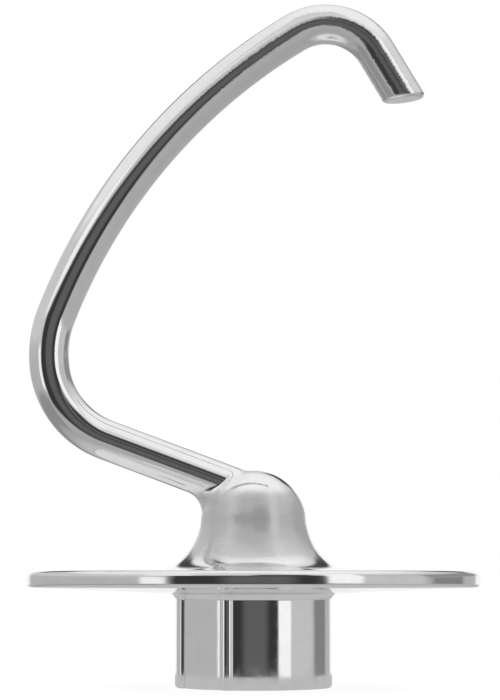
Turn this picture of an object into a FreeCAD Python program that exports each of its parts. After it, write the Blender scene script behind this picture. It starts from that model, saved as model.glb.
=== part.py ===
import FreeCAD
import Part
import math
import os

# Dough hook of a stand mixer, standing on the open end of its drive hub.
# Millimetres, +Z up. The origin is on the hub's axis at its open end, and the hook lies in the XZ plane.

# Drive shaft of the mixer and its cross pin
shaft_diameter = 12.7
shaft_clearance = 0.05
pin_diameter = 4.8
pin_length = 25.4
pin_clearance = 0.3

# Drive socket inside the hub
bore_depth = 28.0
bore_point_angle = 118.0
lock_depth = 10.5
lock_twist_angle = 70.0
seat_drop = 1.5

# Drive hub
hub_length = 21.95
base_radius = 17.2
lobe_radius = 18.3
lobe_end_angle = 107.0
lobe_nose_radius = 1.3
bead_radius = 2.5
bead_proud = 1.0
bead_angle = -21.0
hub_root_radius = 1.9
hub_root_angle = 75.0
hub_edge_radius = 2.4
hub_edge_inset = 1.0
flange_border = 1.1
flange_thickness = 1.6
spigot_wall = 3.6
spigot_end_wall = 2.4

# Shield disc
shield_radius = 53.0
rim_thickness = 3.75
rim_round = 0.9
underside_angle = 2.4

# Bell boss
bell_height = 23.6
bell_cap_radius = 12.5
bell_flare_radius = 12.8
foot_inset = 2.4
foot_depth = 1.2
neck_length = 16.0
neck_fillet = 5.0

# Hook arm: a bar that runs out of the boss, turns up at the elbow and ends in a bent-over tip
bar_diameter = 9.5
bar_axis_height = 17.73
bar_rise_angle = 20.56
root_run = 37.05
elbow_radius = 20.8
elbow_angle = 63.0
heel_radius = 26.5
heel_angle = 27.4
sweep_radius = 136.1
sweep_angle = 37.75
crook_radius = 14.0
crook_angle = 90.45
tip_run = 13.3
tip_cut_angle = 6.6
tip_edge_radius = 0.8

# Tenon of the bar in the neck
tenon_diameter = 6.4
tenon_length = 10.0

# Seats
seat_clearance = 0.02
end_clearance = 0.2

# How near an edge lies to the corner it is picked for
pick_tolerance = 0.001

# Worked out from the sizes above
bore_radius = shaft_diameter / 2 + shaft_clearance
slot_width = pin_diameter + 2 * pin_clearance
slot_reach = pin_length / 2 + pin_clearance
lock_height = pin_diameter + 2 * pin_clearance
bead_centre = lobe_radius + bead_proud - bead_radius
root_growth = hub_root_radius * (1 - math.cos(math.radians(hub_root_angle)))
flange_radius = lobe_radius + bead_proud + root_growth + flange_border
underside_slope = math.tan(math.radians(underside_angle))
shield_top = hub_length + (shield_radius - flange_radius) * underside_slope + rim_thickness
flange_seat = hub_length + flange_thickness
foot_seat = shield_top - foot_depth
bore_point = bore_radius / math.tan(math.radians(bore_point_angle / 2))
spigot_radius = bore_radius + spigot_wall
spigot_top = bore_depth + bore_point + spigot_end_wall
bell_apex = shield_top + bell_height
bell_centre = bell_apex - bell_cap_radius
flare_height = shield_top + bell_flare_radius
flare_reach = math.sqrt((bell_cap_radius + bell_flare_radius) ** 2 - (flare_height - bell_centre) ** 2)
foot_radius = flare_reach - foot_inset
bar_radius = bar_diameter / 2
bar_crossing = FreeCAD.Vector(0, 0, shield_top + bar_axis_height)

UP = FreeCAD.Vector(0, 0, 1)
ACROSS = FreeCAD.Vector(0, 1, 0)
ORIGIN = FreeCAD.Vector(0, 0, 0)


def at(radius, height):
    """A point of a turned profile: distance from the hub's axis and height."""
    return FreeCAD.Vector(radius, 0, height)


def along(heading):
    """Unit vector in the hook's plane, with its heading in degrees from +X towards +Z."""
    return FreeCAD.Vector(math.cos(math.radians(heading)), 0, math.sin(math.radians(heading)))


def line(start, end):
    return Part.LineSegment(start, end).toShape()


def arc(start, middle, end):
    return Part.Arc(start, middle, end).toShape()


def turned(edges, axis_point=ORIGIN):
    """Solid of revolution from the edges of a closed profile, about a vertical axis."""
    return Part.Face(Part.Wire(edges)).revolve(axis_point, UP, 360)


def underside(radius):
    """Height of the shield's coned underside, which falls towards the hub."""
    return hub_length + (radius - flange_radius) * underside_slope


def flare_point(radius):
    """Point of the bell's flare, whose arc ends level with the shield's top."""
    drop = math.sqrt(bell_flare_radius ** 2 - (flare_reach - radius) ** 2)
    return at(radius, flare_height - drop)


def flare_arc(inner, outer):
    """Arc of the flare between two distances from the hub's axis, inner one first."""
    return arc(flare_point(inner), flare_point((inner + outer) / 2), flare_point(outer))


# Drive hub

def azimuth_point(radius, azimuth):
    """Point on the ground plane, with azimuth in degrees from -Y towards +X."""
    angle = math.radians(azimuth)
    return FreeCAD.Vector(radius * math.sin(angle), -radius * math.cos(angle), 0)


def hub_column(radius, centre=ORIGIN):
    """Upright round body of the hub: rolled edge at the open end, straight wall, flared root."""
    edge_inset = min(hub_edge_inset, radius / 3)
    edge_angle = math.acos(1 - edge_inset / hub_edge_radius)
    edge_height = hub_edge_radius * math.sin(edge_angle)
    sweep = math.radians(hub_root_angle)
    root_top = underside(flange_radius)
    root_start = root_top - hub_root_radius * math.sin(sweep)

    def spot(distance, height):
        return centre + at(distance, height)

    def edge_spot(angle):
        drop = hub_edge_radius * math.sin(angle)
        return spot(radius - hub_edge_radius * (1 - math.cos(angle)), edge_height - drop)

    def root_spot(angle):
        rise = hub_root_radius * math.sin(angle)
        return spot(radius + hub_root_radius * (1 - math.cos(angle)), root_start + rise)

    inside_flange = root_top + flange_thickness / 2
    profile = [
        line(spot(0, 0), edge_spot(edge_angle)),
        arc(edge_spot(edge_angle), edge_spot(edge_angle / 2), edge_spot(0)),
        line(edge_spot(0), root_spot(0)),
        arc(root_spot(0), root_spot(sweep / 2), root_spot(sweep)),
        line(root_spot(sweep), spot(radius + root_growth, inside_flange)),
        line(spot(radius + root_growth, inside_flange), spot(0, inside_flange)),
        line(spot(0, inside_flange), spot(0, 0)),
    ]
    return turned(profile, centre)


def wedge(radius, height, start, end):
    """Upright sector of a cylinder between two azimuths."""
    sector = Part.makeCylinder(radius, height, ORIGIN, UP, end - start)
    sector.rotate(ORIGIN, UP, start - 90)
    return sector


def lobe(turn):
    """One lobe of the hub: a proud sector, its bead at the leading edge and its rounded trailing nose."""
    start = bead_angle + turn
    end = lobe_end_angle + turn
    sector = hub_column(lobe_radius).common(wedge(2 * lobe_radius, shield_top, start, end))
    bead = hub_column(bead_radius, azimuth_point(bead_centre, start))
    nose = hub_column(lobe_nose_radius, azimuth_point(lobe_radius - lobe_nose_radius, end))
    return sector.fuse([bead, nose])


def hub_flange():
    """Flange let into the shield, flush with its coned underside, and the spigot that stands on it."""
    profile = [
        line(at(0, underside(0)), at(flange_radius, underside(flange_radius))),
        line(at(flange_radius, underside(flange_radius)), at(flange_radius, flange_seat)),
        line(at(flange_radius, flange_seat), at(spigot_radius, flange_seat)),
        line(at(spigot_radius, flange_seat), at(spigot_radius, spigot_top)),
        line(at(spigot_radius, spigot_top), at(0, spigot_top)),
        line(at(0, spigot_top), at(0, underside(0))),
    ]
    return turned(profile)


def pin_slot(azimuth, floor, roof):
    """Radial slot for one end of the cross pin, from the hub's axis out to the pin's reach."""
    corner = FreeCAD.Vector(-slot_width / 2, -slot_reach, floor)
    slot = Part.makeBox(slot_width, slot_reach, roof - floor, corner)
    slot.rotate(ORIGIN, UP, azimuth)
    return slot.common(Part.makeCylinder(slot_reach, roof - floor, FreeCAD.Vector(0, 0, floor)))


def pin_track(turn):
    """Path of one end of the cross pin: straight in, a twist, and a seat a little back towards the mouth."""
    roof = lock_depth + lock_height
    entry = pin_slot(turn, 0, roof)
    twist = wedge(slot_reach, lock_height, turn, turn + lock_twist_angle)
    twist.translate(FreeCAD.Vector(0, 0, lock_depth))
    seat = pin_slot(turn + lock_twist_angle, lock_depth - seat_drop, roof)
    return entry.fuse([twist, seat])


def drive_bore():
    """Bore for the drive shaft with a drill point at its end."""
    barrel = Part.makeCylinder(bore_radius, bore_depth)
    point = Part.makeCone(bore_radius, 0, bore_point, FreeCAD.Vector(0, 0, bore_depth))
    return barrel.fuse(point)


def drive_hub():
    body = hub_column(base_radius).fuse([lobe(0), lobe(180), hub_flange()]).removeSplitter()
    socket = drive_bore().fuse([pin_track(0), pin_track(180)])
    return body.cut(socket)


# Shield disc

def shield_disc():
    """Round plate with a flat top, a coned underside and seats for the hub's flange and the boss's foot."""
    hole = spigot_radius + seat_clearance
    flange_hole = flange_radius + seat_clearance
    foot_hole = foot_radius + seat_clearance
    profile = [
        line(at(hole, flange_seat), at(flange_hole, flange_seat)),
        line(at(flange_hole, flange_seat), at(flange_hole, underside(flange_hole))),
        line(at(flange_hole, underside(flange_hole)), at(shield_radius, underside(shield_radius))),
        line(at(shield_radius, underside(shield_radius)), at(shield_radius, shield_top)),
        line(at(shield_radius, shield_top), flare_point(flare_reach)),
        flare_arc(foot_hole, flare_reach),
        line(flare_point(foot_hole), at(foot_hole, foot_seat)),
        line(at(foot_hole, foot_seat), at(hole, foot_seat)),
        line(at(hole, foot_seat), at(hole, flange_seat)),
    ]
    plate = turned(profile)
    rim = [edge for edge in plate.Edges if is_circle(edge, shield_radius)]
    return plate.makeFillet(rim_round, rim)


def is_circle(edge, radius):
    return isinstance(edge.Curve, Part.Circle) and abs(edge.Curve.Radius - radius) < pick_tolerance


# Bell boss

def bell():
    """Round cap on a flared skirt, down to the foot that is let into the shield."""
    share = bell_cap_radius / (bell_cap_radius + bell_flare_radius)
    skirt_end = at(flare_reach * share, bell_centre + (flare_height - bell_centre) * share)
    half_way = math.atan2(skirt_end.z - bell_centre, skirt_end.x) / 2 + math.pi / 4
    cap_middle = at(bell_cap_radius * math.cos(half_way), bell_centre + bell_cap_radius * math.sin(half_way))
    profile = [
        line(at(0, foot_seat), at(foot_radius, foot_seat)),
        line(at(foot_radius, foot_seat), flare_point(foot_radius)),
        flare_arc(skirt_end.x, foot_radius),
        arc(skirt_end, cap_middle, at(0, bell_apex)),
        line(at(0, bell_apex), at(0, foot_seat)),
    ]
    return turned(profile)


def on_neck_corner(edge):
    """True for the corner where the neck leaves the bell's cap."""
    middle = edge.valueAt((edge.FirstParameter + edge.LastParameter) / 2)
    from_axis = (middle - bar_crossing).cross(along(180 - bar_rise_angle)).Length
    from_centre = middle.distanceToPoint(at(0, bell_centre))
    off_neck = abs(from_axis - bar_radius)
    off_cap = abs(from_centre - bell_cap_radius)
    return max(off_neck, off_cap) < pick_tolerance


def bell_boss():
    neck_way = along(180 - bar_rise_angle)
    neck = Part.makeCylinder(bar_radius, neck_length, bar_crossing, neck_way)
    body = bell().fuse(neck).removeSplitter()
    body = body.makeFillet(neck_fillet, [edge for edge in body.Edges if on_neck_corner(edge)])
    socket_depth = tenon_length + end_clearance
    tenon_socket = Part.makeCylinder(
        tenon_diameter / 2 + seat_clearance,
        socket_depth,
        bar_crossing + neck_way * (neck_length - socket_depth),
        neck_way,
    )
    spigot_socket = Part.makeCylinder(
        spigot_radius + seat_clearance,
        spigot_top + end_clearance - foot_seat,
        FreeCAD.Vector(0, 0, foot_seat),
    )
    return body.cut([tenon_socket, spigot_socket])


# Hook arm

def bar_steps():
    """The bar from its shoulder to its tip: straight runs, and bends to the right by radius and turn."""
    return [
        {"run": root_run - neck_length},
        {"radius": elbow_radius, "turn": elbow_angle},
        {"radius": heel_radius, "turn": heel_angle},
        {"radius": sweep_radius, "turn": sweep_angle},
        {"radius": crook_radius, "turn": crook_angle},
        {"run": tip_run},
    ]


def bar_section(place, heading):
    """Round end face of the bar, square to its heading."""
    return Part.Face(Part.Wire(Part.makeCircle(bar_radius, place, along(heading))))


def bent_bar(place, heading):
    """Bar made of cylinders and tangent torus bends, with its end point and heading."""
    lengths = []
    for step in bar_steps():
        face = bar_section(place, heading)
        if "run" in step:
            lengths.append(face.extrude(along(heading) * step["run"]))
            place = place + along(heading) * step["run"]
        else:
            centre = place + along(heading - 90) * step["radius"]
            lengths.append(face.revolve(centre, ACROSS, step["turn"]))
            heading = heading - step["turn"]
            place = centre + along(heading + 90) * step["radius"]
    return lengths, place, heading


def tip_cutter(tip):
    """Block below the slanting cut through the tip."""
    side = 4 * bar_diameter
    block = Part.makeBox(side, side, side, tip + FreeCAD.Vector(-side / 2, -side / 2, -side))
    block.rotate(tip, ACROSS, -tip_cut_angle)
    return block


def hook_arm():
    root_way = along(180 - bar_rise_angle)
    shoulder = bar_crossing + root_way * neck_length
    lengths, tip, tip_heading = bent_bar(shoulder, 180 - bar_rise_angle)
    past_cut = bar_section(tip, tip_heading).extrude(along(tip_heading) * bar_diameter)
    tenon = Part.makeCylinder(tenon_diameter / 2, tenon_length, shoulder - root_way * tenon_length, root_way)
    bar = lengths[0].fuse(lengths[1:] + [past_cut, tenon]).removeSplitter().cut(tip_cutter(tip))
    return bar.makeFillet(tip_edge_radius, [edge for edge in bar.Edges if on_tip_cut(edge, tip)])


def on_tip_cut(edge, tip):
    """True for the edges around the slanting cut at the bar's tip."""
    normal = along(tip_cut_angle - 90)
    spots = edge.discretize(5)
    return all(abs((spot - tip).dot(normal)) < pick_tolerance for spot in spots)


def main():
    os.makedirs("parts", exist_ok=True)
    nodes = {
        "drive_hub": drive_hub(),
        "shield_disc": shield_disc(),
        "bell_boss": bell_boss(),
        "hook_arm": hook_arm(),
    }
    for name, shape in nodes.items():
        shape.exportStep(f"parts/{name}.step")
        box = shape.BoundBox
        print(
            f"{name}: {len(shape.Solids)} solid, {len(shape.Faces)} faces, {shape.Volume:.1f} mm3,"
            f" valid {shape.isValid()}, x {box.XMin:.2f} to {box.XMax:.2f},"
            f" y {box.YMin:.2f} to {box.YMax:.2f}, z {box.ZMin:.2f} to {box.ZMax:.2f}"
        )


main()
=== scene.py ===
import math

import bpy
import numpy as np
from mathutils import Matrix


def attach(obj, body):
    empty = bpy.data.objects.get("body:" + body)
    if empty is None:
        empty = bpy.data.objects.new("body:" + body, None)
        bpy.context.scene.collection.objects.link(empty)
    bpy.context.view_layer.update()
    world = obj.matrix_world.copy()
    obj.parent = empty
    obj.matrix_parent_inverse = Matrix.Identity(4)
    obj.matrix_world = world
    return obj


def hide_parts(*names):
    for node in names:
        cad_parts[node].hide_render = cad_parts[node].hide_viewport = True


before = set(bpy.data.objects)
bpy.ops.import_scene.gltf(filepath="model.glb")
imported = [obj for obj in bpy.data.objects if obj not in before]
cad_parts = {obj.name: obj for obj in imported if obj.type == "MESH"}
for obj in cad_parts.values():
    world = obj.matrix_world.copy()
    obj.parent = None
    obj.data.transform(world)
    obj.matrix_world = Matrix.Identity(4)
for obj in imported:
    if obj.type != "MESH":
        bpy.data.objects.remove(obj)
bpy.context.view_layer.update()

# Sizes in millimetres and degrees, in the frame of the solids: hub axis on Z, hook in the XZ plane.
MM = 0.001

# Drive hub
HUB_LENGTH = 21.95
BASE_RADIUS = 17.2
LOBE_RADIUS = 18.3
LOBE_END_ANGLE = 107.0
LOBE_NOSE_RADIUS = 1.3
BEAD_ANGLE = -20.0
BEAD_CREST = 19.3
BEAD_FOOT = 16.4
BEAD_HALF_WIDTH = 1.95
BEAD_SQUARENESS = 2.4
HUB_ROOT_RADIUS = 1.9
HUB_ROOT_ANGLE = 75.0
HUB_EDGE_RADIUS = 1.0
HUB_EDGE_INSET = 0.5
NOSE_EDGE_INSET = LOBE_NOSE_RADIUS / 3
HUB_CORNER_BLEND = 0.5
FLANGE_RADIUS = 21.808
FLANGE_SEAT = 23.55
SPIGOT_RADIUS = 10.0
SPIGOT_TOP = 34.246

# Drive socket
BORE_RADIUS = 6.4
BORE_DEPTH = 28.0
BORE_POINT = 3.846
SLOT_WIDTH = 5.4
SLOT_REACH = 13.0
SMALLEST_SINE = 1e-6
LOCK_FLOOR = 10.5
LOCK_ROOF = 15.9
LOCK_TWIST_ANGLE = 70.0
SEAT_FLOOR = 9.0

# Shield
SHIELD_RADIUS = 53.0
SHIELD_TOP = 27.007
RIM_TOP_ROUND = 1.4
RIM_FOOT_ROUND = 0.95
RIM_CROWN_ANGLE = 5.0
UNDERSIDE_ANGLE = 2.4

# Bell boss and its neck
CAP_RADIUS = 12.5
CAP_CENTRE = 38.107
FLARE_RADIUS = 12.8
FLARE_REACH = 25.243
FLARE_HEIGHT = 39.807
FOOT_RADIUS = 22.843
FOOT_SEAT = 25.807
NECK_LENGTH = 16.0
NECK_FILLET_OPEN = 5.0
NECK_FILLET_TIGHT = 0.8
NECK_FILLET_TIGHT_TO = 0.12
NECK_FILLET_CHANGE = 0.73
SOCKET_CLEARANCE = 0.02
SPIGOT_SOCKET_TOP = 34.446
TENON_SOCKET_DEPTH = 10.2

# Hook arm
BAR_RADIUS = 4.75
BAR_CROSSING = 44.737
BAR_RISE_ANGLE = 20.56
ROOT_RUN = 37.05
ELBOW = (20.8, 63.0)
HEEL = (26.5, 27.4)
SWEEP = (136.1, 37.75)
CROOK = (14.0, 90.45)
TIP_RUN = 13.3
TIP_CUT_ANGLE = 6.6
TIP_EDGE_RADIUS = 0.8
TENON_RADIUS = 3.2
TENON_LENGTH = 10.0

# Rows and columns of the skins
SHARP_EDGE_ANGLE = 38.0
CENTRE_RING_RADIUS = 0.5
SHIELD_COLUMNS = 360
UNDERSIDE_ROWS = 13
TOP_ROWS = 14
RIM_ROWS = 14
RIM_TOP_ROWS = 16
TOE_ROWS = 10
BOSS_COLUMNS = 288
NECK_ROWS = 6
HOLLOW_ROWS = 26
CAP_ROWS = 64
FLARE_ROWS = 44
BAR_COLUMNS = 112
ROOT_ROWS = 12
BEND_ROWS = 12
BEND_FINE_RADIUS = 60.0
TIP_WALL_ROWS = 16
TIP_EDGE_ROWS = 14
TIP_FACE_SHARES = (0.25, 0.5, 0.75, 0.94)
DRILL_POINT_RADIUS = 0.02
END_FACE_SHARES = (0.2, 0.6, 0.9)
HUB_EDGE_ROWS = 12
HUB_WALL_ROWS = 7
HUB_ROOT_ROWS = 18
FLANGE_SHARES = (0.33, 0.66, 1.0)

# The hub repeats after half a turn. Its columns stand closer at the bead, the lobe's nose and the slots.
BOTH_SIDES = (0, 180)
HALF_TURN = (-40.0, 140.0)
HALF_TURN_STEPS = 240
BEAD_ZONE = (-33.0, -10.0)
BEAD_COLUMNS = 155
NOSE_ZONE = (LOBE_END_ANGLE - 3.0, LOBE_END_ANGLE + 9.0)
NOSE_COLUMNS = 80
FLANK_GAP = 0.05
TRACK_END_GAP = 0.02


# Skins from grids of points

def skin_faces(grid, loop):
    """Points, quads and end fans of a closed skin over grid[row, column]: columns wrap round, and the rows
    either wrap too (loop) or are closed by a fan to the middle of the first and of the last row."""
    rows, columns = grid.shape[:2]
    index = np.arange(rows * columns).reshape(rows, columns)
    beside = np.roll(index, -1, axis=1)
    points = grid.reshape(-1, 3)
    if loop:
        low, low_beside = index, beside
        above, above_beside = np.roll(index, -1, axis=0), np.roll(beside, -1, axis=0)
        fans = np.zeros((0, 3), int)
    else:
        low, low_beside = index[:-1], beside[:-1]
        above, above_beside = index[1:], beside[1:]
        first, last = rows * columns, rows * columns + 1
        points = np.vstack([points, grid[0].mean(axis=0), grid[-1].mean(axis=0)])
        start_fan = np.stack([np.full(columns, first), beside[0], index[0]], axis=-1)
        end_fan = np.stack([np.full(columns, last), index[-1], beside[-1]], axis=-1)
        fans = np.vstack([start_fan, end_fan])
    quads = np.stack([low, low_beside, above_beside, above], axis=-1).reshape(-1, 4)
    if signed_volume(points, quads, fans) < 0:
        quads, fans = quads[:, ::-1], fans[:, ::-1]
    return points, quads, fans


def keep_fields(mesh, fields):
    """Keeps vectors on the points of a skin that is closed by fans, whose middles take the row's mean."""
    for field, vectors in fields.items():
        values = np.vstack([vectors.reshape(-1, 3), vectors[0].mean(axis=0), vectors[-1].mean(axis=0)])
        attribute = mesh.attributes.new(field, "FLOAT_VECTOR", "POINT")
        attribute.data.foreach_set("vector", values.astype(np.float32).ravel())


def skin(name, grid, material, loop=False, fields=None):
    """Closed, smooth skin over a grid, as a piece that rides on the part. fields are vectors per point."""
    points, quads, fans = skin_faces(grid, loop)
    mesh = bpy.data.meshes.new(name)
    mesh.from_pydata((points * MM).tolist(), [], quads.tolist() + fans.tolist())
    keep_fields(mesh, fields or {})
    mesh.shade_smooth()
    mesh.set_sharp_from_angle(angle=math.radians(SHARP_EDGE_ANGLE))
    mesh.materials.append(material)
    piece = bpy.data.objects.new(name, mesh)
    bpy.context.scene.collection.objects.link(piece)
    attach(piece, "root")
    return piece


def signed_volume(points, quads, fans):
    """Six times the volume enclosed by the faces, positive where they point outwards."""
    triangles = np.vstack([quads[:, [0, 1, 2]], quads[:, [0, 2, 3]], fans])
    a, b, c = (points[triangles[:, k]] for k in range(3))
    return np.sum(np.cross(a, b) * c)


def spread(start, end, count):
    """Evenly spaced values from start to end, both included."""
    return np.linspace(start, end, count)


def arc_profile(centre, radius, start, end, count):
    """Points of a circle in a turned profile (distance from the axis, height), angles in degrees."""
    angle = np.radians(spread(start, end, count))
    return np.stack([centre[0] + radius * np.cos(angle), centre[1] + radius * np.sin(angle)], axis=-1)


def turned(profile, columns):
    """Grid of a turned body: profile point (r, z) at each azimuth a gives (r cos a, r sin a, z)."""
    azimuth = spread(0, 2 * np.pi, columns + 1)[:-1]
    r, z = profile[:, 0, None], profile[:, 1, None]
    return np.stack([r * np.cos(azimuth), r * np.sin(azimuth), z + 0 * azimuth], axis=-1)


def between(start, end, rows):
    """Rows of points on straight lines from each start point to its end point, ends left out."""
    share = spread(0, 1, rows + 2)[1:-1, None, None]
    return start[None] + (end - start)[None] * share


def unit(vectors):
    """Vectors scaled to length 1."""
    return vectors / np.linalg.norm(vectors, axis=-1, keepdims=True)


def swing(start, end, rows):
    """Rows of unit vectors on the great circle from each start vector to its end vector, ends included:
    v(t) = (sin((1 - t) w) start + sin(t w) end) / sin(w), with w the angle between them."""
    w = np.arccos(np.clip(np.sum(start * end, axis=-1), -1, 1))[None, :, None]
    t = spread(0, 1, rows)[:, None, None]
    return (np.sin((1 - t) * w) * start[None] + np.sin(t * w) * end[None]) / np.sin(w)


# Shield

def underside(radius):
    """Height of the shield's coned underside, which falls towards the hub."""
    return HUB_LENGTH + (radius - FLANGE_RADIUS) * math.tan(math.radians(UNDERSIDE_ANGLE))


def flare_foot_angle():
    """Angle of the flare's arc, in degrees, at the foot of the boss."""
    return -math.degrees(math.acos((FOOT_RADIUS - FLARE_REACH) / FLARE_RADIUS))


def shield_profile():
    """Closed section of the shield: flat top, rim with rounded edges and a slightly crowned wall, coned
    underside and the seats of its neighbours. The wall's arc turns by c to either side of level, so its
    radius is half its height over sin c, and it bulges by that radius times 1 - cos c."""
    hole = SPIGOT_RADIUS + SOCKET_CLEARANCE
    crown = math.radians(RIM_CROWN_ANGLE)
    high = SHIELD_TOP - RIM_TOP_ROUND
    slope = math.cos(math.radians(UNDERSIDE_ANGLE))
    low = underside(SHIELD_RADIUS - RIM_FOOT_ROUND) + RIM_FOOT_ROUND / slope
    wall_top = high + RIM_TOP_ROUND * math.sin(crown)
    wall_foot = low - RIM_FOOT_ROUND * math.sin(crown)
    wall_radius = (wall_top - wall_foot) / 2 / math.sin(crown)
    wall_centre = (SHIELD_RADIUS - wall_radius, (wall_top + wall_foot) / 2)
    top_centre = wall_centre[0] + (wall_radius - RIM_TOP_ROUND) * math.cos(crown)
    foot_centre = wall_centre[0] + (wall_radius - RIM_FOOT_ROUND) * math.cos(crown)
    radii = spread(FLANGE_RADIUS, foot_centre, UNDERSIDE_ROWS + 1)[:-1]
    cone = np.stack([radii, underside(radii)], axis=-1)
    top_radii = spread(top_centre, FLARE_REACH, TOP_ROWS + 2)[1:-1]
    top = np.stack([top_radii, np.full(TOP_ROWS, SHIELD_TOP)], axis=-1)
    return np.vstack([
        [[hole, FLANGE_SEAT], [FLANGE_RADIUS, FLANGE_SEAT]],
        cone,
        arc_profile((foot_centre, low), RIM_FOOT_ROUND, UNDERSIDE_ANGLE - 90, -RIM_CROWN_ANGLE, RIM_ROWS),
        arc_profile(wall_centre, wall_radius, -RIM_CROWN_ANGLE, RIM_CROWN_ANGLE, RIM_ROWS)[1:-1],
        arc_profile((top_centre, high), RIM_TOP_ROUND, RIM_CROWN_ANGLE, 90, RIM_TOP_ROWS),
        top,
        arc_profile((FLARE_REACH, FLARE_HEIGHT), FLARE_RADIUS, -90, flare_foot_angle(), TOE_ROWS),
        [[FOOT_RADIUS, FOOT_SEAT], [hole, FOOT_SEAT]],
    ])


# Bell boss

def neck_frame():
    """Way along the neck, its upper side and its front side."""
    rise = math.radians(BAR_RISE_ANGLE)
    way = np.array([-math.cos(rise), 0, math.sin(rise)])
    upper = np.array([math.sin(rise), 0, math.cos(rise)])
    return way, upper, np.array([0, -1.0, 0])


def neck_fillet(angle):
    """Radius of the hollow between neck and cap: open above and below the neck, tight at its two sides."""
    share = np.clip((np.abs(np.cos(angle)) - NECK_FILLET_TIGHT_TO) / NECK_FILLET_CHANGE, 0, 1)
    share = share * share * (3 - 2 * share)
    return NECK_FILLET_TIGHT + (NECK_FILLET_OPEN - NECK_FILLET_TIGHT) * share


def boss_foot(skirt_radius, skirt_height):
    """Turned profile of the boss below its cap: the flare, the foot and the socket of the hub's spigot."""
    start = math.degrees(math.atan2(skirt_height - FLARE_HEIGHT, skirt_radius - FLARE_REACH))
    flare = arc_profile((FLARE_REACH, FLARE_HEIGHT), FLARE_RADIUS, start, flare_foot_angle(), FLARE_ROWS)
    hole = SPIGOT_RADIUS + SOCKET_CLEARANCE
    return np.vstack([
        flare[1:],
        [[FOOT_RADIUS, FOOT_SEAT], [hole, FOOT_SEAT]],
        [[hole, SPIGOT_SOCKET_TOP], [CENTRE_RING_RADIUS, SPIGOT_SOCKET_TOP]],
    ])


def boss_grid(columns):
    """Boss as one grid, columns by angle a around the neck's axis. A ball of radius q(a) that touches neck
    and cap has its centre at distance r + q from the axis and R + q from the cap's centre; the hollow is
    its arc between the two contacts. Below it the cap follows great circles, then the flare is turned."""
    angle = spread(0, 2 * np.pi, columns + 1)[:-1]
    way, upper, front = neck_frame()
    centre = np.array([0, 0, CAP_CENTRE])
    crossing = np.array([0, 0, BAR_CROSSING])
    side = np.cos(angle)[:, None] * upper + np.sin(angle)[:, None] * front
    back = (centre - crossing) @ way
    foot = crossing + back * way
    q = neck_fillet(angle)[:, None]
    sideways = (foot - centre) + (BAR_RADIUS + q) * side
    ahead = np.sqrt((CAP_RADIUS + q[:, 0]) ** 2 - np.sum(sideways ** 2, axis=-1))[:, None]
    ball = centre + sideways + ahead * way
    cap_normal = unit(ball - centre)
    hollow = ball[None] - q[None] * swing(side, cap_normal, HOLLOW_ROWS)
    share = CAP_RADIUS / (CAP_RADIUS + FLARE_RADIUS)
    skirt_radius = FLARE_REACH * share
    skirt_height = CAP_CENTRE + (FLARE_HEIGHT - CAP_CENTRE) * share
    around = np.stack([np.cos(angle), -np.sin(angle), 0 * angle], axis=-1)
    skirt = around * skirt_radius + np.array([0, 0, skirt_height])
    cap = centre + CAP_RADIUS * swing(cap_normal, unit(skirt - centre), CAP_ROWS)[1:]
    below = boss_foot(skirt_radius, skirt_height)
    lower = around[None] * below[:, None, :1] + np.array([0, 0, 1.0]) * below[:, None, 1:]
    shoulder = crossing + NECK_LENGTH * way
    tenon_socket = TENON_RADIUS + SOCKET_CLEARANCE
    ends = np.stack([
        shoulder - TENON_SOCKET_DEPTH * way + tenon_socket * side,
        shoulder + tenon_socket * side,
        shoulder + BAR_RADIUS * side,
    ])
    neck = between(ends[-1], hollow[0], NECK_ROWS)
    return np.concatenate([ends, neck, hollow, cap, lower])


# Hook arm

def bar_path():
    """Axis of the bar from its shoulder to the end of the crook: points, headings in degrees and lengths, on
    tangent runs and bends. A bend of radius R turns right: its centre lies R to the right of the heading h,
    and the point at turn t is centre + R (cos(h - t + 90), sin(h - t + 90))."""
    heading = 180 - BAR_RISE_ANGLE
    place = np.array([0, BAR_CROSSING]) + NECK_LENGTH * plane_way(heading)
    length = 0.0
    points, headings, lengths = [place[None]], [np.array([heading])], [np.array([0.0])]
    for radius, turn in ((None, ROOT_RUN - NECK_LENGTH), ELBOW, HEEL, SWEEP, CROOK):
        if radius is None:
            step = spread(0, turn, ROOT_ROWS + 1)[1:]
            points.append(place + step[:, None] * plane_way(heading))
            headings.append(np.full(step.size, heading))
            lengths.append(length + step)
            length += turn
        else:
            step = spread(0, turn, int(BEND_ROWS + turn * max(1.0, radius / BEND_FINE_RADIUS)))[1:]
            centre = place + radius * plane_way(heading - 90)
            points.append(centre + radius * plane_way(heading - step + 90))
            headings.append(heading - step)
            lengths.append(length + np.radians(step) * radius)
            length += math.radians(turn) * radius
            heading -= turn
        place = points[-1][-1]
    return np.vstack(points), np.concatenate(headings), np.concatenate(lengths)


def plane_way(heading):
    """Unit vector (x, z) in the hook's plane, heading in degrees from +X towards +Z."""
    angle = np.radians(heading)
    return np.stack([np.cos(angle), np.sin(angle)], axis=-1)


def lift(flat):
    """Points or vectors (x, z) of the hook's plane in space."""
    return np.stack([flat[..., 0], 0 * flat[..., 0], flat[..., 1]], axis=-1)


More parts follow.
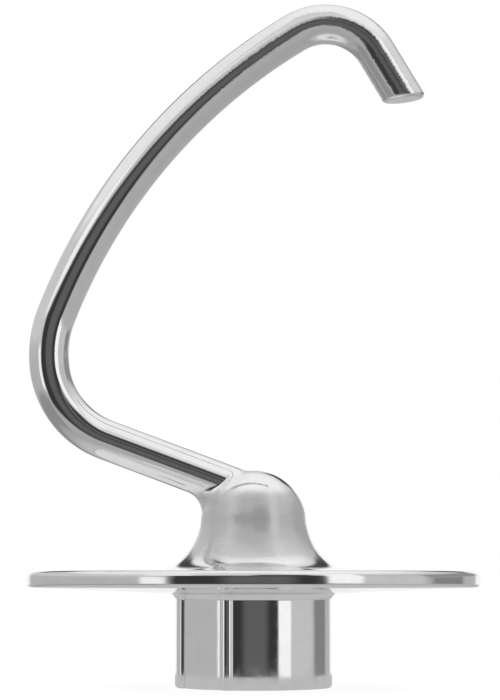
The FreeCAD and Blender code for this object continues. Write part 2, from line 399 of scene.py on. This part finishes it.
def tip_rows(start, way, side, first):
    """Rows of the bar after the first one, at the crook's end, to the slanting cut with a rolled edge: a ball
    of radius q that touches the bar's wall and the cut has its centre r - q from the axis and q above the
    cut."""
    tip = start + TIP_RUN * way
    cut_way = lift(plane_way(TIP_CUT_ANGLE - 90))
    ball = start + (BAR_RADIUS - TIP_EDGE_RADIUS) * side
    run = (-TIP_EDGE_RADIUS - (ball - tip) @ cut_way) / (way @ cut_way)
    ball = ball + run[:, None] * way
    edge = ball[None] + TIP_EDGE_RADIUS * swing(side, np.broadcast_to(cut_way, side.shape), TIP_EDGE_ROWS)
    wall = between(first, edge[0], TIP_WALL_ROWS)
    face = edge[-1][None] + (tip - edge[-1])[None] * np.array(TIP_FACE_SHARES)[:, None, None]
    return np.concatenate([wall, edge, face])


def arm_grid(columns):
    """Bar as a circle carried along its axis, with its tenon before and its tip after. Returns the grid and,
    for each point, its place on the straightened bar in metres (length, outwards, frontwards) and the way
    along it."""
    angle = spread(0, 2 * np.pi, columns + 1)[:-1]
    axis, heading, length = bar_path()
    outer = lift(plane_way(heading + 90))
    front = np.array([0, -1.0, 0])
    side = np.cos(angle)[None, :, None] * outer[:, None] + np.sin(angle)[None, :, None] * front
    tube = lift(axis)[:, None] + BAR_RADIUS * side
    tip_start, tip_way = lift(axis[-1]), lift(plane_way(heading[-1]))
    tip = tip_rows(tip_start, tip_way, side[-1], tube[-1])
    root, root_way = lift(axis[0]), lift(plane_way(heading[0]))
    tenon = np.stack([
        root - TENON_LENGTH * root_way + TENON_RADIUS * side[0],
        root + TENON_RADIUS * side[0],
    ])
    grid = np.concatenate([tenon, tube, tip])
    along = np.concatenate([
        np.zeros(tenon.shape[:2]),
        np.broadcast_to(length[:, None], tube.shape[:2]),
        length[-1] + (tip - tip_start) @ tip_way,
    ])
    lay = np.stack([
        along,
        np.broadcast_to(BAR_RADIUS * np.cos(angle), along.shape),
        np.broadcast_to(BAR_RADIUS * np.sin(angle), along.shape),
    ], axis=-1)
    ahead = np.concatenate([np.full(len(tenon), heading[0]), heading, np.full(len(tip), heading[-1])])
    way = np.broadcast_to(lift(plane_way(ahead))[:, None], grid.shape)
    return grid, {"bar_place": lay * MM, "bar_way": way}


# Drive hub

def smooth_larger(a, b, blend):
    """The larger of two radii, rounded where they cross:
    max(a, b) + max(blend - |a - b|, 0)^2 / (4 blend)."""
    near = np.maximum(blend - np.abs(a - b), 0)
    return np.maximum(a, b) + near * near / (4 * blend)


def turn_from(azimuth, angle):
    """Signed difference of two azimuths in radians, between -pi and pi."""
    return (azimuth - np.radians(angle) + np.pi) % (2 * np.pi) - np.pi


def column_reach(azimuth, centre, angle, radius):
    """Distance from the hub's axis to the far side of a round column that stands off the axis:
    c cos t + sqrt(r^2 - c^2 sin^2 t), and nothing where the ray misses the column."""
    t = turn_from(azimuth, angle)
    room = radius ** 2 - (centre * np.sin(t)) ** 2
    reach = centre * np.cos(t) + np.sqrt(np.maximum(room, 0))
    return np.where((room > 0) & (np.cos(t) > 0), reach, 0)


def bead_reach(azimuth, angle, growth):
    """Distance from the hub's axis to the outside of an upright bead with a flattened crown and round sides:
    foot + h (1 - |u / w|^n)^(1 / n), with u the distance round the hub from the bead's middle."""
    across = np.abs(turn_from(azimuth, angle)) * BEAD_CREST / (BEAD_HALF_WIDTH + growth)
    bulge = np.maximum(1 - across ** BEAD_SQUARENESS, 0) ** (1 / BEAD_SQUARENESS)
    return np.where(across < 1, BEAD_FOOT + (BEAD_CREST + growth - BEAD_FOOT) * bulge, 0)


def hub_reach(azimuth, growth, edge_share):
    """Outline of the hub at one height: base circle, two lobes with rounded trailing noses and two beads.
    growth is added to every column's radius, and edge_share scales the smaller inset of the noses."""
    reach = BASE_RADIUS + growth + 0 * azimuth
    nose = LOBE_NOSE_RADIUS + np.where(growth < 0, growth * edge_share, growth)
    nose_centre = LOBE_RADIUS - LOBE_NOSE_RADIUS
    for turn in BOTH_SIDES:
        inside = turn_from(azimuth, BEAD_ANGLE + turn) % (2 * np.pi)
        in_lobe = inside < np.radians(LOBE_END_ANGLE - BEAD_ANGLE)
        lobe = np.where(in_lobe, LOBE_RADIUS + growth, 0)
        lobe = np.maximum(lobe, column_reach(azimuth, nose_centre, LOBE_END_ANGLE + turn, nose))
        reach = smooth_larger(reach, lobe, HUB_CORNER_BLEND)
    for turn in BOTH_SIDES:
        bead = bead_reach(azimuth, BEAD_ANGLE + turn, growth)
        reach = smooth_larger(reach, bead, HUB_CORNER_BLEND)
    return reach


def slot_reach(azimuth, angle):
    """Distance from the axis to the wall of one radial pin slot: its end circle or its straight flanks."""
    t = np.abs(turn_from(azimuth, angle))
    sine = np.sin(np.minimum(t, np.pi / 2))
    flank = SLOT_WIDTH / 2 / np.maximum(sine, SMALLEST_SINE)
    return np.where(t < np.pi / 2, np.minimum(flank, SLOT_REACH), 0)


def socket_reach(azimuth, entry, seat, track):
    """Outline of the socket at one height: the bore, with the entry slots, seats and lock track that are
    open there."""
    reach = BORE_RADIUS + 0 * azimuth
    for turn in BOTH_SIDES:
        if entry:
            reach = np.maximum(reach, slot_reach(azimuth, turn))
        if seat:
            reach = np.maximum(reach, slot_reach(azimuth, turn + LOCK_TWIST_ANGLE))
        if track:
            inside = turn_from(azimuth, turn) % (2 * np.pi)
            reach = np.where(inside < np.radians(LOCK_TWIST_ANGLE), SLOT_REACH, reach)
    return reach


def hub_azimuths():
    """Azimuths of the hub's columns in radians from -Y towards +X: even steps, closer where outlines turn."""
    flank_in = math.degrees(math.asin(SLOT_WIDTH / 2 / BORE_RADIUS))
    flank_out = math.degrees(math.asin(SLOT_WIDTH / 2 / SLOT_REACH))
    half = [
        spread(*HALF_TURN, HALF_TURN_STEPS + 1)[:-1],
        spread(*BEAD_ZONE, BEAD_COLUMNS),
        spread(*NOSE_ZONE, NOSE_COLUMNS),
    ]
    for slot in (0, LOCK_TWIST_ANGLE):
        for flank in (-flank_in, -flank_out, flank_out, flank_in):
            half.append(slot + flank + np.array([-FLANK_GAP, FLANK_GAP]))
        half.append(slot + np.array([-TRACK_END_GAP, TRACK_END_GAP]))
    half = np.unique(np.round(np.concatenate(half), 4))
    half = half[(half >= HALF_TURN[0]) & (half < HALF_TURN[1])]
    return np.radians(np.concatenate([half, half + 180]))


def socket_rings(azimuth):
    """Rings (reach, height) from the drill point down the socket to the open end."""
    plain = socket_reach(azimuth, False, False, False)
    locked = socket_reach(azimuth, True, True, True)
    seated = socket_reach(azimuth, True, True, False)
    entry = socket_reach(azimuth, True, False, False)
    rings = [(DRILL_POINT_RADIUS, BORE_DEPTH + BORE_POINT)]
    for reach, high, low in (
        (plain, BORE_DEPTH, LOCK_ROOF),
        (locked, LOCK_ROOF, LOCK_FLOOR),
        (seated, LOCK_FLOOR, SEAT_FLOOR),
        (entry, SEAT_FLOOR, 0.0),
    ):
        rings += [(reach, high), (reach, low)]
    return rings


def outside_rings(azimuth, entry):
    """Rings (reach, height) across the open end from the socket's outline there, round the rolled edge, up
    the wall and out along the flared root."""
    edge_angle = math.acos(1 - HUB_EDGE_INSET / HUB_EDGE_RADIUS)
    edge_height = HUB_EDGE_RADIUS * math.sin(edge_angle)
    nose_share = NOSE_EDGE_INSET / HUB_EDGE_INSET
    end_outline = hub_reach(azimuth, -HUB_EDGE_INSET, nose_share)
    rings = [(entry + (end_outline - entry) * share, 0.0) for share in END_FACE_SHARES]
    for angle in spread(edge_angle, 0, HUB_EDGE_ROWS):
        reach = hub_reach(azimuth, -HUB_EDGE_RADIUS * (1 - math.cos(angle)), nose_share)
        rings.append((reach, edge_height - HUB_EDGE_RADIUS * math.sin(angle)))
    sweep = math.radians(HUB_ROOT_ANGLE)
    root_start = HUB_LENGTH - HUB_ROOT_RADIUS * math.sin(sweep)
    outline = hub_reach(azimuth, 0.0, nose_share)
    for height in spread(edge_height, root_start, HUB_WALL_ROWS + 2)[1:-1]:
        rings.append((outline, height))
    for angle in spread(0, sweep, HUB_ROOT_ROWS):
        reach = hub_reach(azimuth, HUB_ROOT_RADIUS * (1 - math.cos(angle)), nose_share)
        height = root_start + HUB_ROOT_RADIUS * math.sin(angle)
        rings.append((reach, np.minimum(height, underside(reach))))
    return rings


def flange_rings(root):
    """Rings (reach, height) from the root's outline along the shield's underside, over the flange and up the
    spigot."""
    rings = []
    for share in FLANGE_SHARES:
        across = root + (FLANGE_RADIUS - root) * share
        rings.append((across, underside(across)))
    rings += [(FLANGE_RADIUS, FLANGE_SEAT), (SPIGOT_RADIUS, FLANGE_SEAT)]
    rings += [(SPIGOT_RADIUS, SPIGOT_TOP), (CENTRE_RING_RADIUS, SPIGOT_TOP)]
    return rings


def hub_grid():
    """Hub as one grid, columns by azimuth: down the socket, up the outside and over the flange and spigot."""
    azimuth = hub_azimuths()
    rings = socket_rings(azimuth)
    rings += outside_rings(azimuth, rings[-1][0])
    rings += flange_rings(rings[-1][0])
    radius = np.stack([reach + 0 * azimuth for reach, height in rings])
    height = np.stack([height + 0 * azimuth for reach, height in rings])
    return np.stack([radius * np.sin(azimuth), -radius * np.cos(azimuth), height], axis=-1)


# Node helpers

def new_material(name):
    """Empty material and its node tree."""
    material = bpy.data.materials.new(name)
    material.use_nodes = True
    return material, material.node_tree


def node_group(name, inputs, outputs, input_type="NodeSocketFloat"):
    """Empty shader node group with inputs of one type and float outputs, and its two end nodes."""
    group = bpy.data.node_groups.new(name, "ShaderNodeTree")
    for socket in inputs:
        group.interface.new_socket(socket, in_out="INPUT", socket_type=input_type)
    for socket in outputs:
        group.interface.new_socket(socket, in_out="OUTPUT", socket_type="NodeSocketFloat")
    return group, group.nodes.new("NodeGroupInput"), group.nodes.new("NodeGroupOutput")


def feed(tree, value, socket):
    """Links a node's output to a socket, or sets a plain value on it."""
    if isinstance(value, bpy.types.NodeSocket):
        tree.links.new(value, socket)
    else:
        socket.default_value = value


def calc(tree, operation, *values):
    """Output of a Math node."""
    node = tree.nodes.new("ShaderNodeMath")
    node.operation = operation
    for value, socket in zip(values, node.inputs):
        feed(tree, value, socket)
    return node.outputs[0]


def vector_calc(tree, operation, a, b=None):
    """Vector output of a Vector Math node."""
    node = tree.nodes.new("ShaderNodeVectorMath")
    node.operation = operation
    tree.links.new(a, node.inputs[0])
    if b is not None:
        feed(tree, b, node.inputs["Scale"] if operation == "SCALE" else node.inputs[1])
    return node.outputs["Vector"]


def opposite(tree, share):
    """1 less a share."""
    return calc(tree, "SUBTRACT", 1.0, share)


def soft_step(tree, value, edge, softness):
    """0 below an edge, 1 above it, with a smooth change over the softness."""
    node = tree.nodes.new("ShaderNodeMapRange")
    node.interpolation_type = "SMOOTHSTEP"
    feed(tree, calc(tree, "DIVIDE", calc(tree, "SUBTRACT", value, edge), softness), node.inputs["Value"])
    node.inputs["From Min"].default_value = -0.5
    node.inputs["From Max"].default_value = 0.5
    return node.outputs["Result"]


def noise(tree, place, scale, detail):
    """Value of a noise at a place."""
    node = tree.nodes.new("ShaderNodeTexNoise")
    node.inputs["Scale"].default_value = scale
    node.inputs["Detail"].default_value = detail
    tree.links.new(place, node.inputs["Vector"])
    return node.outputs["Fac"]


def coordinate(tree, kind):
    """Output of a Texture Coordinate node."""
    return tree.nodes.new("ShaderNodeTexCoord").outputs[kind]


def components(tree, vector):
    """X, Y and Z of a vector."""
    node = tree.nodes.new("ShaderNodeSeparateXYZ")
    tree.links.new(vector, node.inputs["Vector"])
    return node.outputs


def kept_field(tree, name):
    """Vector kept on the mesh's points."""
    node = tree.nodes.new("ShaderNodeAttribute")
    node.attribute_name = name
    return node.outputs["Vector"]


# Materials

# Traces of polishing on all the steel, in millimetres, and the grey of the hub, shield and bar
POLISH_WAVE = 6.0
POLISH_WAVE_DETAIL = 1.0
POLISH_DEPTH = 0.03
HAZE_GRAIN = 3.0
HAZE_DETAIL = 2.0
HAZE_EDGE = 0.52
HAZE_SOFTNESS = 0.4
STEEL_GREY = 0.865
HAZE_GREY_CHANGE = -0.03

# Hub and shield
MIRROR_ROUGHNESS = 0.045
MIRROR_HAZE = 0.07

# Boss: heights of its satin band, its lathe lines, and how far it has to turn from the eye for the satin
# to clear (as Facing)
SATIN_LOW = 30.0
SATIN_HIGH = 45.2
SATIN_EDGE = 3.0
SATIN_ROUGHNESS = 0.42
SATIN_METALLIC_CHANGE = -0.5
TURNED_ROUGHNESS = 0.04
TURNED_HAZE = 0.03
TURNED_GREY = 0.86
TURNED_DEPTH = POLISH_DEPTH / 2
GRAZING_EDGE = 0.72
GRAZING_SOFTNESS = 0.3
LATHE_PITCH = 0.22
LATHE_LENGTH = 5.0
LATHE_DETAIL = 4.0
LATHE_CONTRAST = 0.16
COAT_IOR = 1.8
COAT_ROUGHNESS = 0.03

# Bar: polishing strokes across it, stronger past GRAIN_FROM along its axis from the shoulder
STROKE_PITCH = 0.25
STROKE_LENGTH = 3.0
STROKE_DETAIL = 3.0
STROKE_TILT = 0.012
GRAIN_FROM = 108.0
GRAIN_RAMP = 30.0
GRAIN_TILT = 0.1
GRAIN_ROUGHNESS = 0.08
BAR_ROUGHNESS = 0.035
BAR_HAZE = 0.03
BAR_DEPTH = POLISH_DEPTH / 3


def polish_group():
    """Traces of hand polishing: broad unevenness of the surface, and a haze of fine wiping marks."""
    outputs = ("Unevenness", "Haze")
    group, given, result = node_group("hand_polish", ("Place",), outputs, "NodeSocketVector")
    place = given.outputs["Place"]
    wave = noise(group, place, 1 / (POLISH_WAVE * MM), POLISH_WAVE_DETAIL)
    group.links.new(wave, result.inputs["Unevenness"])
    marks = noise(group, place, 1 / (HAZE_GRAIN * MM), HAZE_DETAIL)
    group.links.new(soft_step(group, marks, HAZE_EDGE, HAZE_SOFTNESS), result.inputs["Haze"])
    return group


def polish(tree, group, depth):
    """Makes a shader metal with the slight unevenness of the polish group. Returns the shader's inputs and
    the group's haze."""
    inputs = tree.nodes["Principled BSDF"].inputs
    traces = tree.nodes.new("ShaderNodeGroup")
    traces.node_tree = group
    tree.links.new(coordinate(tree, "Object"), traces.inputs["Place"])
    inputs["Metallic"].default_value = 1.0
    bump = tree.nodes.new("ShaderNodeBump")
    bump.inputs["Distance"].default_value = depth * MM
    tree.links.new(traces.outputs["Unevenness"], bump.inputs["Height"])
    tree.links.new(bump.outputs["Normal"], inputs["Normal"])
    return inputs, traces.outputs["Haze"]


def polished_steel(group):
    """Hub and shield: mirror polish with slight waves and a haze of wiping marks."""
    material, tree = new_material("polished_steel")
    inputs, haze = polish(tree, group, POLISH_DEPTH)
    tree.links.new(calc(tree, "MULTIPLY_ADD", haze, HAZE_GREY_CHANGE, STEEL_GREY), inputs["Base Color"])
    rough = calc(tree, "MULTIPLY_ADD", haze, MIRROR_HAZE, MIRROR_ROUGHNESS)
    tree.links.new(rough, inputs["Roughness"])
    return material


def lathe_lines(tree, place):
    """Fine lines round the boss: noise that changes quickly with height and slowly along the line."""
    stretch = tree.nodes.new("ShaderNodeMapping")
    along = 1 / (LATHE_LENGTH * MM)
    stretch.inputs["Scale"].default_value = (along, along, 1 / (LATHE_PITCH * MM))
    tree.links.new(place, stretch.inputs["Vector"])
    return noise(tree, stretch.outputs["Vector"], 1.0, LATHE_DETAIL)


def turned_steel(group):
    """Boss: fine lathe grain round its middle, which smears reflections upright, and mirror polish at its
    foot and crown. A clear thin coat over it keeps glancing reflections sharp."""
    material, tree = new_material("turned_steel")
    inputs, haze = polish(tree, group, TURNED_DEPTH)
    inputs["Anisotropic"].default_value = 1.0
    inputs["Coat Weight"].default_value = 1.0
    inputs["Coat IOR"].default_value = COAT_IOR
    inputs["Coat Roughness"].default_value = COAT_ROUGHNESS
    upright = tree.nodes.new("ShaderNodeCombineXYZ")
    upright.inputs["Z"].default_value = 1.0
    tree.links.new(upright.outputs["Vector"], inputs["Tangent"])
    place = coordinate(tree, "Object")
    height = components(tree, place)["Z"]
    above_low = soft_step(tree, height, SATIN_LOW * MM, SATIN_EDGE * MM)
    above_high = soft_step(tree, height, SATIN_HIGH * MM, SATIN_EDGE * MM)
    satin = calc(tree, "SUBTRACT", above_low, above_high)
    facing = tree.nodes.new("ShaderNodeLayerWeight")
    facing.inputs["Blend"].default_value = 0.5
    grazing = soft_step(tree, facing.outputs["Facing"], GRAZING_EDGE, GRAZING_SOFTNESS)
    brushed = calc(tree, "MULTIPLY", satin, opposite(tree, grazing))
    rough = calc(tree, "MULTIPLY_ADD", haze, TURNED_HAZE, TURNED_ROUGHNESS)
    tree.links.new(calc(tree, "MULTIPLY_ADD", brushed, SATIN_ROUGHNESS, rough), inputs["Roughness"])
    tree.links.new(calc(tree, "MULTIPLY_ADD", satin, SATIN_METALLIC_CHANGE, 1.0), inputs["Metallic"])
    grain = calc(tree, "MULTIPLY", satin, calc(tree, "SUBTRACT", lathe_lines(tree, place), 0.5))
    tree.links.new(calc(tree, "MULTIPLY_ADD", grain, LATHE_CONTRAST, TURNED_GREY), inputs["Base Color"])
    return material


def stroke_group():
    """Polishing strokes across the bar: signed noise that changes quickly along the bar and slowly round
    it."""
    group, given, result = node_group("polish_strokes", ("Place",), ("Stroke",), "NodeSocketVector")
    across = 1 / (STROKE_LENGTH * MM)
    pitches = (1 / (STROKE_PITCH * MM), across, across)
    stretched = vector_calc(group, "MULTIPLY", given.outputs["Place"], pitches)
    value = noise(group, stretched, 1.0, STROKE_DETAIL)
    group.links.new(calc(group, "MULTIPLY_ADD", value, 2.0, -1.0), result.inputs["Stroke"])
    return group


def grained_steel(group):
    """Bar: polished, with fine strokes across it that fray the edges of reflections, more so towards the
    tip."""
    material, tree = new_material("grained_steel")
    inputs, haze = polish(tree, group, BAR_DEPTH)
    tree.links.new(calc(tree, "MULTIPLY_ADD", haze, HAZE_GREY_CHANGE, STEEL_GREY), inputs["Base Color"])
    place = kept_field(tree, "bar_place")
    strokes = tree.nodes.new("ShaderNodeGroup")
    strokes.node_tree = stroke_group()
    tree.links.new(place, strokes.inputs["Place"])
    along = components(tree, place)["X"]
    worn = soft_step(tree, along, (GRAIN_FROM + GRAIN_RAMP / 2) * MM, GRAIN_RAMP * MM)
    amount = calc(tree, "MULTIPLY_ADD", worn, GRAIN_TILT, STROKE_TILT)
    normal = inputs["Normal"].links[0].from_socket
    round_way = vector_calc(tree, "CROSS_PRODUCT", kept_field(tree, "bar_way"), normal)
    signed = calc(tree, "MULTIPLY", amount, strokes.outputs["Stroke"])
    tilt = vector_calc(tree, "SCALE", round_way, signed)
    tilted = vector_calc(tree, "NORMALIZE", vector_calc(tree, "ADD", normal, tilt))
    tree.links.new(tilted, inputs["Normal"])
    rough = calc(tree, "MULTIPLY_ADD", haze, BAR_HAZE, BAR_ROUGHNESS)
    tree.links.new(calc(tree, "MULTIPLY_ADD", worn, GRAIN_ROUGHNESS, rough), inputs["Roughness"])
    return material


# Pieces

def dress():
    """Skins over the four solids."""
    traces = polish_group()
    mirror = polished_steel(traces)
    grain = grained_steel(traces)
    hub = skin("drive_hub_skin", hub_grid(), mirror)
    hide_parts("drive_hub")
    shield_grid = turned(shield_profile(), SHIELD_COLUMNS)
    shield = skin("shield_skin", shield_grid, mirror, loop=True)
    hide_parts("shield_disc")
    boss = skin("bell_boss_skin", boss_grid(BOSS_COLUMNS), turned_steel(traces))
    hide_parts("bell_boss")
    grid, fields = arm_grid(BAR_COLUMNS)
    arm = skin("hook_arm_skin", grid, grain, fields=fields)
    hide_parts("hook_arm")


# Camera

CAMERA_DISTANCE = 584.8
CAMERA_HEIGHT = 24.92
CAMERA_ASIDE = -0.82
CAMERA_TILT = 5.279
CAMERA_LENS = 128.03
SENSOR_WIDTH = 36.0
CLIP_START = 10.0


def add_camera():
    """Long lens level with the shield's rim, tilted up to take in the hook."""
    lens = bpy.data.cameras.new("camera")
    lens.lens = CAMERA_LENS
    lens.sensor_width = SENSOR_WIDTH
    lens.clip_start = CLIP_START * MM
    camera = bpy.data.objects.new("camera", lens)
    bpy.context.scene.collection.objects.link(camera)
    place = Matrix.Translation((CAMERA_ASIDE * MM, -CAMERA_DISTANCE * MM, CAMERA_HEIGHT * MM))
    camera.matrix_world = place @ Matrix.Rotation(math.radians(90 + CAMERA_TILT), 4, "X")
    bpy.context.scene.camera = camera


# Studio

# Panels of the studio as the metal sees them, each over the ones before it: its sides as azimuths from the
# camera's side towards +X, its ends as elevations and the softness of its edges, in degrees, and its
# brightness.
STUDIO_PANELS = (
    ("backdrop_left", (-200, -155), (-6, 20), 8, 1.0),
    ("backdrop_right", (150, 200), (-6, 20), 8, 1.0),
    ("left_wall", (-160, -48), (10, 30), 8, 0.65),
    ("left_low", (-165, -50), (-38, -15), 8, 0.3),
    ("left_glow", (-170, -20), (35, 65), 6, 0.9),
    ("right_wall", (50, 95), (-10, 12), 6, 0.6),
    ("right_dusk", (100, 130), (-8, 5), 6, 0.25),
    ("right_flag", (95, 155), (5, 25), 8, 0.3),
    ("front_high", (-40, 20), (42, 66), 10, 0.7),
    ("camera_side", (-42, 37), (-16, 20), 8, 0.04),
    ("camera_middle", (-15, 20), (-10, 12), 12, 0.12),
    ("camera_side_high", (0, 30), (20, 36), 8, 0.05),
    ("left_strip", (-58, -32), (20, 34), 6, 1.0),
    ("left_low_strip", (-58, -44), (-10, 8), 4, 1.0),
    ("soft_box", (37, 56), (-8, 40), 3, 1.05),
    ("back_flag_left", (-172, -152), (20, 34), 6, 0.06),
    ("back_flag_right", (152, 172), (20, 34), 6, 0.06),
)

# Brightness behind the panels by elevation in degrees
CEILING = ((-90, 0.35), (-40, 0.42), (0, 0.5), (30, 0.6), (50, 0.95), (90, 1.0))


def grey(value):
    """Opaque grey as a colour."""
    return (value, value, value, 1)


def panel_group():
    """Mask of one studio panel: inside its azimuths and elevations, with soft edges."""
    sockets = ("Azimuth", "Elevation", "Left", "Right", "Low", "High", "Softness")
    group, given, result = node_group("studio_panel", sockets, ("Mask",))
    get = given.outputs
    left = soft_step(group, get["Azimuth"], get["Left"], get["Softness"])
    right = soft_step(group, get["Azimuth"], get["Right"], get["Softness"])
    low = soft_step(group, get["Elevation"], get["Low"], get["Softness"])
    high = soft_step(group, get["Elevation"], get["High"], get["Softness"])
    across = calc(group, "MULTIPLY", left, opposite(group, right))
    upright = calc(group, "MULTIPLY", low, opposite(group, high))
    group.links.new(calc(group, "MULTIPLY", across, upright), result.inputs["Mask"])
    return group


def elevation_ramp(tree, elevation, stops):
    """Brightness by elevation from a few stops (degrees, value)."""
    ramp = tree.nodes.new("ShaderNodeValToRGB")
    feed(tree, calc(tree, "ADD", calc(tree, "DIVIDE", elevation, 180.0), 0.5), ramp.inputs["Fac"])
    elements = ramp.color_ramp.elements
    while len(elements) < len(stops):
        elements.new(0.5)
    for element, (angle, value) in zip(elements, stops):
        element.position = angle / 180 + 0.5
        element.color = grey(value)
    return ramp.outputs["Color"]


def mix_in(tree, colour, value, mask):
    """A colour with a grey mixed in by a mask."""
    mix = tree.nodes.new("ShaderNodeMix")
    mix.data_type = "RGBA"
    tree.links.new(mask, mix.inputs["Factor"])
    tree.links.new(colour, mix.inputs["A"])
    mix.inputs["B"].default_value = grey(value)
    return mix.outputs["Result"]


def add_world():
    """White to the camera; the metal and the floor see a studio of soft panels set by direction."""
    world = bpy.data.worlds.new("studio")
    bpy.context.scene.world = world
    world.use_nodes = True
    tree = world.node_tree
    x, y, z = components(tree, coordinate(tree, "Generated"))
    towards_camera = calc(tree, "MULTIPLY", y, -1.0)
    azimuth = calc(tree, "DEGREES", calc(tree, "ARCTAN2", x, towards_camera))
    elevation = calc(tree, "DEGREES", calc(tree, "ARCSINE", z))
    colour = elevation_ramp(tree, elevation, CEILING)
    mask_group = panel_group()
    for name, sides, ends, softness, value in STUDIO_PANELS:
        panel = tree.nodes.new("ShaderNodeGroup")
        panel.node_tree = mask_group
        panel.name = name
        for size, socket in zip((azimuth, elevation, *sides, *ends, softness), panel.inputs):
            feed(tree, size, socket)
        colour = mix_in(tree, colour, value, panel.outputs["Mask"])
    to_camera = tree.nodes.new("ShaderNodeLightPath").outputs["Is Camera Ray"]
    seen = mix_in(tree, colour, 1.0, to_camera)
    tree.links.new(seen, tree.nodes["Background"].inputs["Color"])


# Floor

FLOOR_RADIUS = 700.0
FLOOR_SIDES = 128
FLOOR_SEEN_TO = 90.0
FLOOR_SEEN_EDGE = 40.0
FLOOR_TO_METAL = 0.56
FLOOR_TO_CAMERA = 0.92
FLOOR_SHADED = 0.16


def coloured(tree, kind, value):
    """Output of a shader node of a grey colour."""
    node = tree.nodes.new(kind)
    node.inputs["Color"].default_value = grey(value)
    return node.outputs[0]


def mix_shaders(tree, share, first, second):
    """First shader where the share is 0, second where it is 1."""
    node = tree.nodes.new("ShaderNodeMixShader")
    tree.links.new(share, node.inputs["Fac"])
    tree.links.new(first, node.inputs[1])
    tree.links.new(second, node.inputs[2])
    return node.outputs["Shader"]


def pale_floor():
    """White to the camera with the hook's faint shadow on it, and pale grey to the metal near the hub, from
    where it fades into the studio."""
    material, tree = new_material("pale_floor")
    tree.nodes.remove(tree.nodes["Principled BSDF"])
    to_camera = tree.nodes.new("ShaderNodeAddShader")
    tree.links.new(coloured(tree, "ShaderNodeBsdfDiffuse", FLOOR_SHADED), to_camera.inputs[0])
    tree.links.new(coloured(tree, "ShaderNodeEmission", FLOOR_TO_CAMERA), to_camera.inputs[1])
    length = tree.nodes.new("ShaderNodeVectorMath")
    length.operation = "LENGTH"
    tree.links.new(coordinate(tree, "Object"), length.inputs[0])
    far = soft_step(tree, length.outputs["Value"], FLOOR_SEEN_TO * MM, FLOOR_SEEN_EDGE * MM)
    clear = tree.nodes.new("ShaderNodeBsdfTransparent").outputs["BSDF"]
    pale = coloured(tree, "ShaderNodeEmission", FLOOR_TO_METAL)
    to_metal = mix_shaders(tree, opposite(tree, far), clear, pale)
    camera_ray = tree.nodes.new("ShaderNodeLightPath").outputs["Is Camera Ray"]
    seen = mix_shaders(tree, camera_ray, to_metal, to_camera.outputs["Shader"])
    tree.links.new(seen, tree.nodes["Material Output"].inputs["Surface"])
    return material


def add_floor():
    """Pale round floor under the hub."""
    azimuth = spread(0, 2 * np.pi, FLOOR_SIDES + 1)[:-1]
    rim = FLOOR_RADIUS * MM * np.stack([np.cos(azimuth), np.sin(azimuth), 0 * azimuth], axis=-1)
    mesh = bpy.data.meshes.new("floor")
    mesh.from_pydata(rim.tolist(), [], [list(range(FLOOR_SIDES))])
    mesh.materials.append(pale_floor())
    floor = bpy.data.objects.new("floor", mesh)
    bpy.context.scene.collection.objects.link(floor)


dress()
add_camera()
add_world()
add_floor()
bpy.context.scene.view_settings.view_transform = "Standard"
